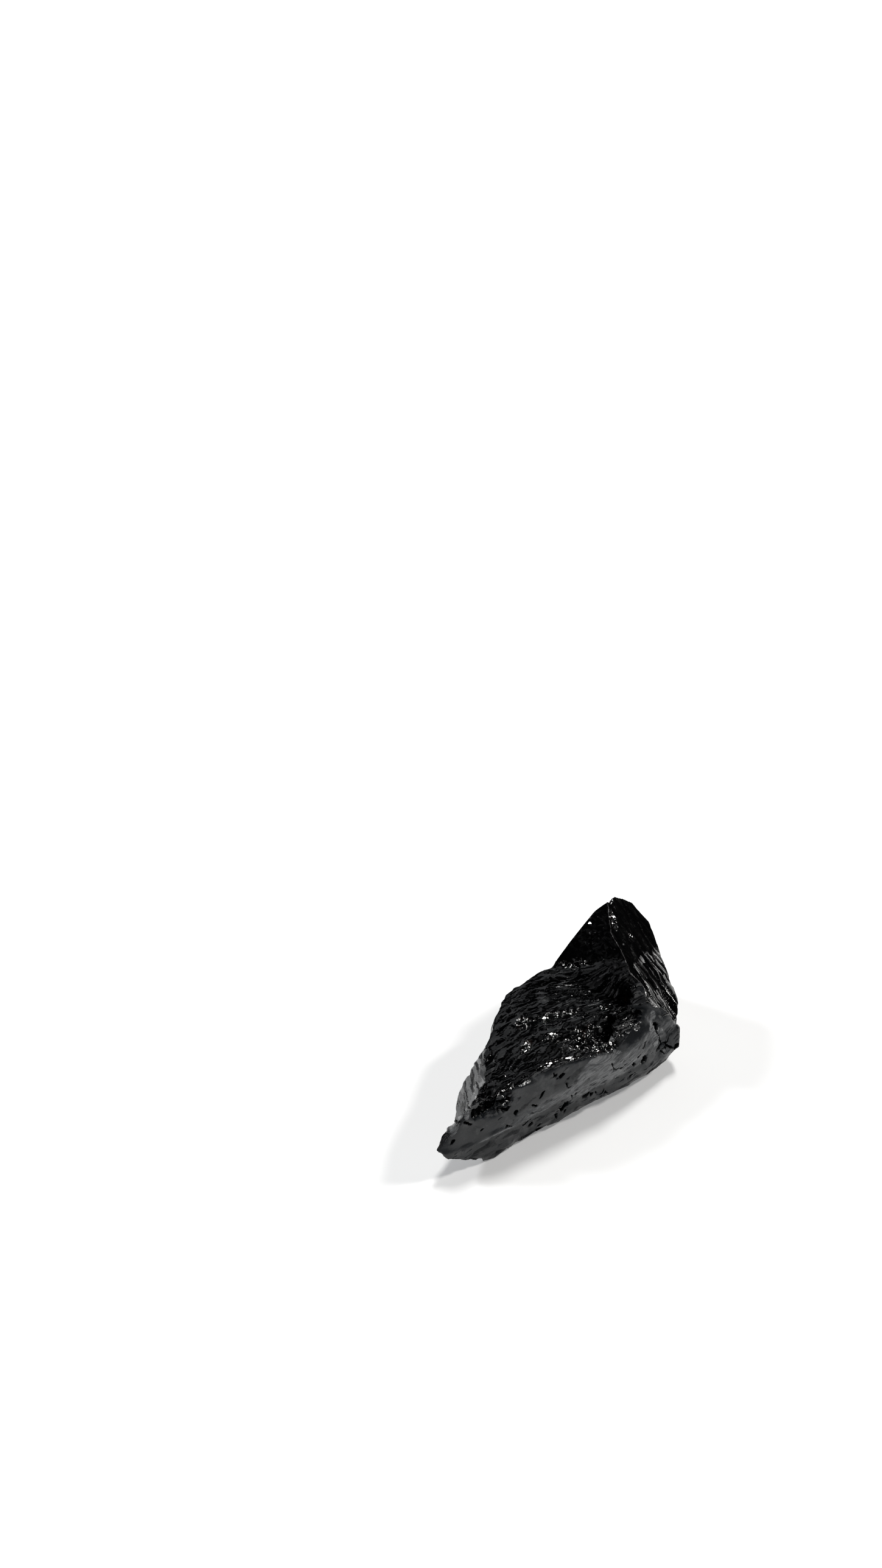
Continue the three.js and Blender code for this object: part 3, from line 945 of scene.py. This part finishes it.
# the crest and the peak's summit glint here and there, and so do the pits
spots = ramp(noise(middles / 0.9, 95), 0.30, 0.45)
near_ridge = np.exp(-((zone["ridge"] / 2.2) ** 2))
by_ridge = 0.34 * spots * near_ridge * (zone["crest_right"] > 0.5) * ramp(heights, 18, 21)
on_peak = 0.60 * spots * (zone["peak_face"] > 0.5) * ramp(heights, 18.5, 20.5)
glinting = np.maximum.reduce([by_ridge, on_peak, 0.50 * flats.pit])
dim = 0.10 * (zone["crest_right"] + zone["peak_face"] > 0.5) * ramp(heights, 17, 19)
spread = np.where(zone["brow"] > 0.3, 0.26, np.maximum(zone["scatter"], glinting + dim))
in_patch = np.maximum(zone["grainy"], zone["brow"])
plain = 1 - np.clip(6 * (in_patch - 0.25) + 6 * glinting, 0, 1)

for name in carried:
    mesh.attributes.remove(mesh.attributes[name])
final.attribute("grainy", zone["grainy"], "FACE")
final.attribute("glassy", zone["peak_face"], "FACE")
final.attribute("scatter", spread, "FACE")
final.attribute("plain", plain, "FACE")
for name in ("stands", "sharp", "gaps", "fine", "over", "satin", "dust_and_sheen", "tone", "rough"):
    final.attribute(name, getattr(flats, name), "FACE")
final.attribute("ridge", zone_at["ridge"])
final.attribute("strokes", fine_cells(place_at, zone_at))
mesh.polygons.foreach_set("use_smooth", np.ones(len(mesh.polygons), bool))
mesh.normals_split_custom_set(corner_normals.reshape(-1, 3).tolist())

# ---------- material ----------


class Nodes:
    """Short calls for making a node tree; most give back the new node's output."""

    def __init__(self, tree):
        self.tree = tree
        tree.nodes.clear()

    def add(self, kind, inputs=None, **settings):
        """A node with these settings and inputs, which are values or other nodes' outputs."""
        node = self.tree.nodes.new(kind)
        for key, value in settings.items():
            setattr(node, key, value)
        for key, value in (inputs or {}).items():
            if isinstance(value, bpy.types.NodeSocket):
                self.tree.links.new(value, node.inputs[key])
            else:
                node.inputs[key].default_value = value
        return node

    def math(self, operation, a, b=0.0):
        return self.add("ShaderNodeMath", {0: a, 1: b}, operation=operation).outputs[0]

    def times(self, a, b):
        return self.math("MULTIPLY", a, b)

    def mix(self, factor, a, b):
        """A colour between two others."""
        inputs = {0: factor, 6: a, 7: b}
        return self.add("ShaderNodeMix", inputs, data_type="RGBA").outputs[2]

    def between(self, factor, a, b):
        """A number that goes from a to b as factor goes from 0 to 1."""
        inputs = {"Value": factor, "To Min": a, "To Max": b}
        return self.add("ShaderNodeMapRange", inputs).outputs["Result"]

    def ramp(self, value, low, high):
        """0 below low, 1 above high, smooth between."""
        inputs = {"Value": value, "From Min": low, "From Max": high}
        node = self.add("ShaderNodeMapRange", inputs, interpolation_type="SMOOTHSTEP")
        return node.outputs["Result"]

    def noise(self, vector, scale, detail, roughness=0.5, output="Fac"):
        inputs = {"Vector": vector, "Scale": scale, "Detail": detail, "Roughness": roughness}
        return self.add("ShaderNodeTexNoise", inputs).outputs[output]

    def cells(self, vector, scale, dimensions="3D"):
        """A colour of its own for every cell."""
        inputs = {"Vector": vector, "Scale": scale}
        node = self.add("ShaderNodeTexVoronoi", inputs, voronoi_dimensions=dimensions)
        return node.outputs["Color"]

    def vector(self, operation, a, b=(0, 0, 0)):
        node = self.add("ShaderNodeVectorMath", {0: a, 1: b}, operation=operation)
        return node.outputs["Vector"]

    def scaled(self, a, factor):
        node = self.add("ShaderNodeVectorMath", {0: a, "Scale": factor}, operation="SCALE")
        return node.outputs["Vector"]

    def dot(self, a, b):
        node = self.add("ShaderNodeVectorMath", {0: a, 1: b}, operation="DOT_PRODUCT")
        return node.outputs["Value"]

    def attribute(self, name, output="Fac"):
        return self.add("ShaderNodeAttribute", attribute_name=name).outputs[output]

    def height_of(self, where):
        return self.add("ShaderNodeSeparateXYZ", {"Vector": where}).outputs["Z"]

    def stretched(self, vector, scale):
        inputs = {"Vector": vector, "Scale": scale}
        return self.add("ShaderNodeMapping", inputs).outputs["Vector"]


NEARLY_BLACK = (0.0002, 0.0002, 0.0003, 1)
CLOUDED = (0.0009, 0.0009, 0.0011, 1)
BROWN = (0.008, 0.0035, 0.002, 1)
# the film's blue tint is a painted reflection of the shaded floor
FILM_AND_REFLECTION_TINT = (0.0020, 0.0040, 0.0065, 1)
MOTTLE = (0.034, 0.035, 0.036, 1)
# the grey of dust, and of painted sheen standing in for reflected light
DUST_AND_SHEEN_GREY = (0.155, 0.158, 0.160, 1)
# the pale of the painted streaks of reflected light on the step and the crest
PAINTED_STREAK_GREY = (0.24, 0.24, 0.24, 1)
# the pale line along the crest's edge is a painted highlight
RIDGE_HIGHLIGHT = (0.04, 0.04, 0.04, 1)

# how strongly it mirrors, the grains' facets in a metre, and the depth of the fine relief
GLASS_IOR = 1.47
FACETS_PER_METRE = 1600
RELIEF = 0.00006


def tourmaline_material():
    """Black glass with satin, dusty and grainy parts, painted sheen and painted shade, told apart
    by the mesh's attributes.
    """
    material = bpy.data.materials.new("tourmaline")
    material.use_nodes = True
    n = Nodes(material.node_tree)
    where = n.add("ShaderNodeTexCoord").outputs["Object"]
    satin = n.attribute("satin")

    # the finest strokes of the grain
    ragged = n.vector("SUBTRACT", n.noise(where, 1700, 2, output="Color"), (0.5, 0.5, 0.5))
    lines = n.vector("ADD", n.attribute("strokes", "Vector"), n.scaled(ragged, 1.3))
    chance = n.add("ShaderNodeSeparateColor", {"Color": n.cells(lines, 1, "2D")}).outputs

    # nearly black, a little brown among the grains and a thin grey film on the satin faces, tinted
    # blue as a painted reflection
    cloud = n.noise(where, 160, 4)
    colour = n.mix(cloud, NEARLY_BLACK, CLOUDED)
    brown = n.ramp(n.noise(where, 420, 3), 0.55, 0.72)
    colour = n.mix(n.times(brown, n.attribute("grainy")), colour, BROWN)
    tinted_film = n.times(satin, n.between(n.noise(where, 300, 4), 0.25, 1.0))
    colour = n.mix(tinted_film, colour, FILM_AND_REFLECTION_TINT)
    mottle = n.times(satin, n.ramp(n.noise(where, 330, 5, 0.6), 0.48, 0.66))
    colour = n.mix(mottle, colour, MOTTLE)

    # dust and painted sheen: soft flecks on the front face, sharp painted streaks of reflected
    # light on the step and the crest
    blown = n.noise(n.stretched(where, (0.3, 0.3, 1)), 900, 4)
    dust_and_sheen_share = n.times(n.attribute("dust_and_sheen"), n.ramp(blown, 0.15, 0.55))
    fleck = chance["Blue"]
    flecks = n.between(fleck, 0.35, 1.75)
    gaps = n.attribute("gaps")
    sharp = n.attribute("sharp")
    streaks = n.times(n.ramp(n.math("SUBTRACT", fleck, gaps), -0.05, 0.05), 1.5)
    flecked = n.between(sharp, flecks, streaks)
    dust_and_sheen_colour = n.mix(n.times(n.times(sharp, gaps), 1.75), DUST_AND_SHEEN_GREY, PAINTED_STREAK_GREY)
    colour = n.mix(n.times(dust_and_sheen_share, flecked), colour, dust_and_sheen_colour)

    # painted highlight: a fine pale line a little off the crest's edge, where the edge catches
    # light
    waver = n.times(n.math("SUBTRACT", n.noise(where, 500, 3), 0.5), 0.5)
    aside = n.math("ABSOLUTE", n.math("ADD", n.attribute("ridge"), waver))
    line = n.math("SUBTRACT", 1.0, n.ramp(aside, 0.02, 0.09))
    high = n.ramp(n.height_of(where), 0.0170, 0.0185)
    ridge_line = n.times(n.times(line, high), n.ramp(n.noise(where, 700, 2), 0.30, 0.50))
    colour = n.mix(ridge_line, colour, RIDGE_HIGHLIGHT)
    rough = n.math("ADD", n.attribute("rough"), n.times(ridge_line, 0.3))

    # tiny flat facets among the grains, each turned its own way
    turn = n.vector("SUBTRACT", n.cells(where, FACETS_PER_METRE), (0.5, 0.5, 0.5))
    turn = n.scaled(turn, n.attribute("scatter"))

    # most of the finest strokes tip a little back or forth, some stand up
    tip = n.math("SUBTRACT", n.times(chance["Red"], 1.3), 0.15)
    often = n.math("LESS_THAN", chance["Green"], n.attribute("stands"))
    stands = n.times(often, n.between(satin, -4.6, 11.0))
    tip = n.times(n.math("ADD", tip, stands), n.attribute("fine"))
    turn = n.vector("ADD", turn, n.scaled(n.attribute("over", "Vector"), tip))
    facing = n.vector("ADD", n.add("ShaderNodeNewGeometry").outputs["Normal"], turn)
    facing = n.vector("NORMALIZE", facing)

    # then flats and strokes are turned away from the directions that mirror a lamp
    plain = n.attribute("plain")
    for glint, _, degrees in GLINTS:
        along = n.dot(facing, glint)
        aside = n.math("SUBTRACT", 1.0, n.times(along, along))
        aside = n.math("SQRT", n.math("MAXIMUM", aside, 0.0))
        short = n.math("SUBTRACT", along, n.math("DIVIDE", aside, math.tan(math.radians(degrees))))
        short = n.times(n.math("MAXIMUM", short, 0.0), plain)
        facing = n.vector("NORMALIZE", n.vector("SUBTRACT", facing, n.scaled(glint, short)))

    # fine relief under the mesh's own
    scratches = n.noise(n.stretched(where, (0.25, 1, 1)), 2400, 4, 0.6)
    height = n.times(scratches, n.between(n.attribute("glassy"), 0.40, 0.12))
    height = n.times(height, n.between(n.attribute("tone"), 0.6, 1.4))
    inputs = {"Strength": 0.5, "Distance": RELIEF, "Height": height, "Normal": facing}
    normal = n.add("ShaderNodeBump", inputs).outputs["Normal"]
    inputs = {"Base Color": colour, "Roughness": rough, "Normal": normal, "IOR": GLASS_IOR}
    shader = n.add("ShaderNodeBsdfPrincipled", inputs)
    n.add("ShaderNodeOutputMaterial", {"Surface": shader.outputs["BSDF"]})
    return material


stone.data.materials.clear()
stone.data.materials.append(tourmaline_material())
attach(stone, "root")
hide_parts("tourmaline_stone")

# ---------- floor, sky and lights ----------

bpy.ops.mesh.primitive_plane_add(size=8)
floor = bpy.context.object
floor.name = "floor"
white = bpy.data.materials.new("floor_white")
white.use_nodes = True
FLOOR = {
    "Base Color": (0.8, 0.8, 0.8, 1),
    "Roughness": 0.9,
    "Specular IOR Level": 0.2,
    "Emission Color": (1, 1, 1, 1),
    "Emission Strength": 0.17,
}
w = Nodes(white.node_tree)
floor_shader = w.add("ShaderNodeBsdfPrincipled", FLOOR)
w.add("ShaderNodeOutputMaterial", {"Surface": floor_shader.outputs["BSDF"]})
floor.data.materials.append(white)


def studio_sky():
    """A dark room with a pale horizon, a broad soft wall in front and a dim soft panel behind."""
    world = bpy.data.worlds.new("studio")
    scene.world = world
    world.use_nodes = True
    s = Nodes(world.node_tree)
    where = s.add("ShaderNodeTexCoord").outputs["Generated"]
    height = s.height_of(where)

    def toward(direction, low, high):
        """0 away from a direction, 1 near it."""
        return s.ramp(s.dot(where, Vector(direction).normalized()), low, high)

    horizon = s.math("SUBTRACT", 1.0, s.ramp(height, 0.02, 0.14))
    gap = toward((0.88, 0.47, 0.0), 0.45, 0.75)
    horizon = s.times(horizon, s.between(gap, 0.62, 0.0))
    wall = toward((-0.47, -0.88, 0.0), 0.05, 0.55)
    wall = s.times(wall, s.between(s.ramp(height, 0.40, 0.75), 0.35, 0.0))
    panel = s.times(toward((0.27, 0.75, 0.48), 0.82, 0.93), 0.50)
    light = s.math("ADD", s.math("ADD", horizon, wall), s.math("ADD", panel, 0.006))
    sky = s.add("ShaderNodeBackground", {"Strength": light, "Color": (0.94, 0.965, 1.0, 1)})
    s.add("ShaderNodeOutputWorld", {"Surface": sky.outputs["Background"]})


studio_sky()


def sun(name, travel, strength, degrees, colour):
    """A lamp far away: the way its light travels, and how many degrees wide it looks."""
    data = bpy.data.lights.new(name, "SUN")
    data.energy = strength
    data.angle = math.radians(degrees)
    data.color = colour
    lamp = bpy.data.objects.new(name, data)
    lamp.rotation_euler = Vector(travel).to_track_quat("-Z", "Y").to_euler()
    scene.collection.objects.link(lamp)


sun("key", (-0.391, -0.444, -0.806), 2.05, 12.0, (1.0, 0.995, 0.98))
sun("left_of_frame", (0.518, -0.661, -0.544), 1.37, 8.0, (0.97, 0.985, 1.0))
sun("right_of_frame", (-0.82, 0.046, -0.57), 1.85, 8.0, (1.0, 0.985, 0.96))

scene.view_settings.view_transform = "Standard"
scene.view_settings.look = "None"
scene.view_settings.exposure = 0
scene.view_settings.gamma = 1
